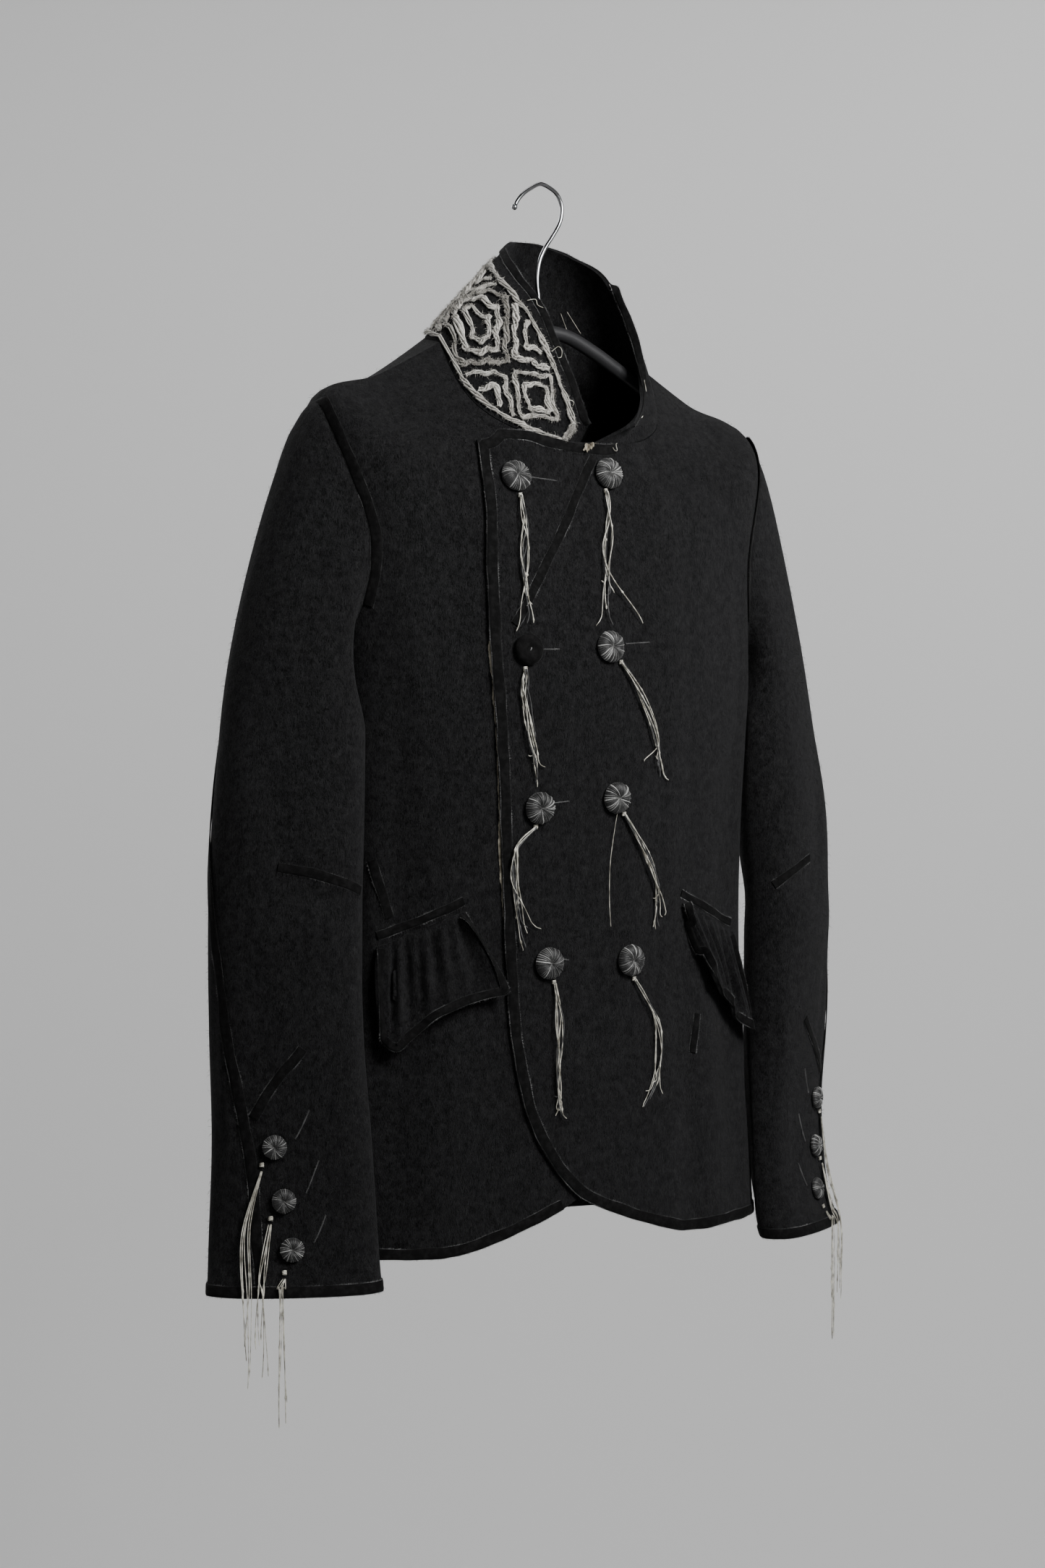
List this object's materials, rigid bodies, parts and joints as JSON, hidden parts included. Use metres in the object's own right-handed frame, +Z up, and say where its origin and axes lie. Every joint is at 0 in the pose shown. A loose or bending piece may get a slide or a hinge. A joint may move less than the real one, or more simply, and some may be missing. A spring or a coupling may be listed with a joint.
{
  "type": "napoleon jacket on a hanger",
  "caption": "Short double-breasted jacket of felted wool with a turned-up collar, taped edges, wound-thread buttons and thread tassels, hung open-necked on a plain hanger.",
  "frame": {"origin": "the crest inside the hook, where a rail carries it", "axes": "+Z up, the jacket faces -Y, the wearer's left is +X"},
  "size_m": [0.5976, 0.1773, 0.9293],
  "materials": {
    "felted_wool": "felted, matt, with a short nap",
    "velvet_tape": "deep black velvet tape with frayed edges",
    "button_thread": "grey thread wound over a domed form",
    "waxed_thread": "ivory waxed thread, satin",
    "chromed_wire": "polished",
    "hanger_plastic": "satin black"
  },
  "bodies": {
    "root": {"back": "felted_wool", "button_left_1": "button_thread", "button_left_2": "button_thread", "button_left_3": "button_thread", "button_left_4": "button_thread", "button_right_1": "button_thread", "button_right_2": "button_thread", "button_right_3": "button_thread", "button_right_4": "button_thread", "collar": "felted_wool", "cuff_button_left_1": "button_thread", "cuff_button_left_2": "button_thread", "cuff_button_left_3": "button_thread", "cuff_button_right_1": "button_thread", "cuff_button_right_2": "button_thread", "cuff_button_right_3": "button_thread", "cuff_tassel_left_1": "waxed_thread", "cuff_tassel_left_2": "waxed_thread", "cuff_tassel_left_3": "waxed_thread", "cuff_tassel_right_1": "waxed_thread", "cuff_tassel_right_2": "waxed_thread", "cuff_tassel_right_3": "waxed_thread", "front_left": "felted_wool", "front_right": "felted_wool", "hanger": "hanger_plastic", "hook": "chromed_wire", "pocket_flap_left": "felted_wool", "pocket_flap_right": "felted_wool", "sleeve_left": "felted_wool", "sleeve_right": "felted_wool", "tape_armhole_left": "velvet_tape", "tape_armhole_right": "velvet_tape", "tape_branch_left": "velvet_tape", "tape_branch_right": "velvet_tape", "tape_collar": "velvet_tape", "tape_cuff_left": "velvet_tape", "tape_cuff_right": "velvet_tape", "tape_elbow_left": "velvet_tape", "tape_elbow_right": "velvet_tape", "tape_flap_left": "velvet_tape", "tape_flap_right": "velvet_tape", "tape_front_left": "velvet_tape", "tape_front_right": "velvet_tape", "tape_hem_back": "velvet_tape", "tape_lapel": "velvet_tape", "tape_pocket_left": "velvet_tape", "tape_pocket_right": "velvet_tape", "tape_sleeve_left": "velvet_tape", "tape_sleeve_right": "velvet_tape", "tape_waist_dart_left": "velvet_tape", "tape_waist_dart_right": "velvet_tape", "tassel_left_1": "waxed_thread", "tassel_left_2": "waxed_thread", "tassel_left_3": "waxed_thread", "tassel_left_4": "waxed_thread", "tassel_right_1": "waxed_thread", "tassel_right_2": "waxed_thread", "tassel_right_3": "waxed_thread", "tassel_right_4": "waxed_thread"}
  },
  "joints": []
}
